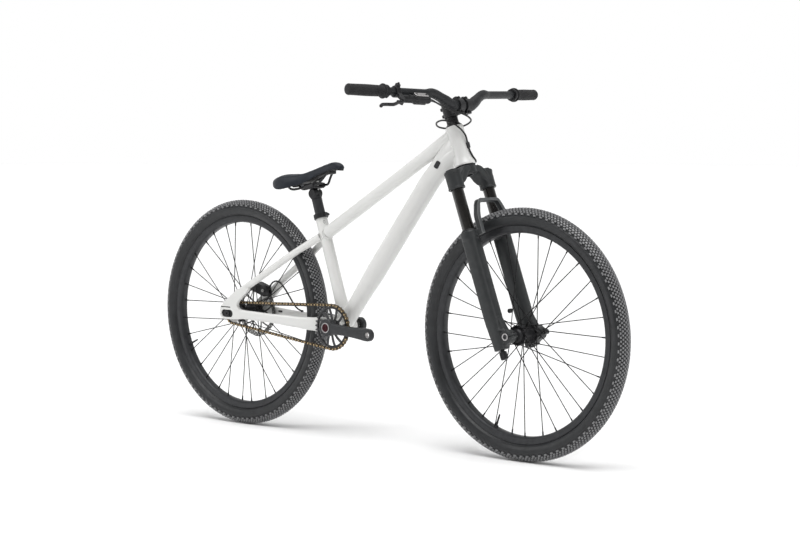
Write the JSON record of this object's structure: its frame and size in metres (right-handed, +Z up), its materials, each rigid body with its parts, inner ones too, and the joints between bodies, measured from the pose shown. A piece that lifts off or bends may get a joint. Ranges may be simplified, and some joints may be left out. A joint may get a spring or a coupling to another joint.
{
  "type": "dirt jump bike",
  "caption": "Hardtail dirt jump bicycle with a suspension fork, riser bar, low saddle, single-speed chain drive and a hydraulic rear disc brake.",
  "frame": {"origin": "on the ground, midway between the two axles and between the two sides", "axes": "+X forward along the bike, +Y to the rider's left, +Z up"},
  "size_m": [1.78, 0.8082, 1.0241],
  "materials": {
    "black_metal": "satin black anodised",
    "chain_steel": "bronze tinted steel",
    "fork_grey": "satin charcoal",
    "frame_paint": "satin white",
    "grey_metal": "satin dark grey",
    "grip_rubber": "matte black",
    "hose": "smooth black",
    "saddle_cover": "matte black",
    "saddle_plastic": "matte black",
    "steel": "bare steel",
    "tyre": "matte black"
  },
  "bodies": {
    "frame": {"head_tube": "frame_paint", "headset_lower": "black_metal", "headset_upper": "black_metal", "top_tube": "frame_paint", "down_tube": "frame_paint", "seat_tube": "frame_paint", "seat_collar": "black_metal", "bottom_bracket_shell": "frame_paint", "bracket_cup_right": "black_metal", "bracket_cup_left": "black_metal", "seat_stay_right": "frame_paint", "seat_stay_left": "frame_paint", "chain_stay_right": "frame_paint", "chain_stay_left": "frame_paint", "dropout_right": "frame_paint", "dropout_left": "frame_paint", "rear_axle": "grey_metal", "caliper": "black_metal", "brake_pad_inner": "steel", "brake_pad_outer": "steel", "caliper_hose": "hose", "chain": "chain_steel", "brake_hose": "hose"},
    "steering": {"fork_crown": "fork_grey", "steerer": "grey_metal", "stanchion_right": "black_metal", "stanchion_left": "black_metal", "fork_cap_right": "black_metal", "fork_cap_left": "black_metal", "headset_cover": "black_metal", "spacer": "black_metal", "stem": "grey_metal", "stem_faceplate": "grey_metal", "top_cap": "black_metal", "handlebar": "grey_metal", "grip_right": "grip_rubber", "grip_left": "grip_rubber", "brake_master": "black_metal"},
    "fork_slider": {"fork_lowers": "fork_grey", "front_axle": "grey_metal"},
    "front_wheel": {"front_hub": "black_metal", "front_rim": "black_metal", "front_tyre": "tyre"},
    "lever": {"brake_lever": "black_metal"},
    "rebound_dial": {"rebound_knob": "black_metal"},
    "rear_wheel": {"rear_hub": "black_metal", "rear_rim": "black_metal", "rear_tyre": "tyre", "rear_rotor": "steel"},
    "cranks": {"spindle": "steel", "crank_arm_right": "grey_metal", "crank_arm_left": "grey_metal", "chain_ring": "grey_metal", "crank_bolt": "black_metal"},
    "cog": {"rear_cog": "steel"},
    "post": {"seat_post": "black_metal"},
    "saddle": {"rail_clamp": "black_metal", "saddle_rails": "black_metal", "saddle_base": "saddle_plastic", "saddle_cushion": "saddle_cover"}
  },
  "joints": [
    {"name": "steer", "type": "hinge", "parent": "frame", "child": "steering", "pos_m": [0.31501, 0, 0.85838], "axis": [-0.3469, 0, 0.9379], "range_deg": [-180, 180], "deforming": ["brake_hose"]},
    {"name": "fork_travel", "type": "slide", "parent": "steering", "child": "fork_slider", "axis": [-0.3469, 0, 0.9379], "range_m": [0, 0.1], "stiffness_N_per_m": 9000, "springref_m": -0.02},
    {"name": "front_wheel_spin", "type": "hinge", "parent": "fork_slider", "child": "front_wheel", "pos_m": [0.544, 0, 0.346], "axis": [0, 1, 0], "continuous": true},
    {"name": "brake_lever_pull", "type": "hinge", "parent": "steering", "child": "lever", "pos_m": [0.3322, -0.25906, 0.97589], "axis": [-0.5246, 0.0584, -0.8494], "range_deg": [0, 16], "stiffness_Nm_per_rad": 2, "springref_deg": -5.73},
    {"name": "rebound_adjust", "type": "hinge", "parent": "fork_slider", "child": "rebound_dial", "pos_m": [0.5244, -0.068, 0.30676], "axis": [-0.3469, 0, 0.9379], "range_deg": [0, 330]},
    {"name": "rear_wheel_spin", "type": "hinge", "parent": "frame", "child": "rear_wheel", "pos_m": [-0.544, 0, 0.346], "axis": [0, 1, 0], "continuous": true},
    {"name": "crank_spin", "type": "hinge", "parent": "frame", "child": "cranks", "pos_m": [-0.1267, 0, 0.3277], "axis": [0, 1, 0], "continuous": true, "deforming": ["chain"]},
    {"name": "cog_spin", "type": "hinge", "parent": "frame", "child": "cog", "pos_m": [-0.544, 0, 0.346], "axis": [0, 1, 0], "continuous": true},
    {"name": "seat_height", "type": "slide", "parent": "frame", "child": "post", "axis": [-0.314, 0, 0.9494], "range_m": [-0.02, 0.06]},
    {"name": "saddle_tilt", "type": "hinge", "parent": "post", "child": "saddle", "pos_m": [-0.24012, 0, 0.71601], "axis": [0, 1, 0], "range_deg": [-8, 8]}
  ],
  "couplings": [
    {"joint": "cog_spin", "follows": "crank_spin", "ratio": 2}
  ]
}
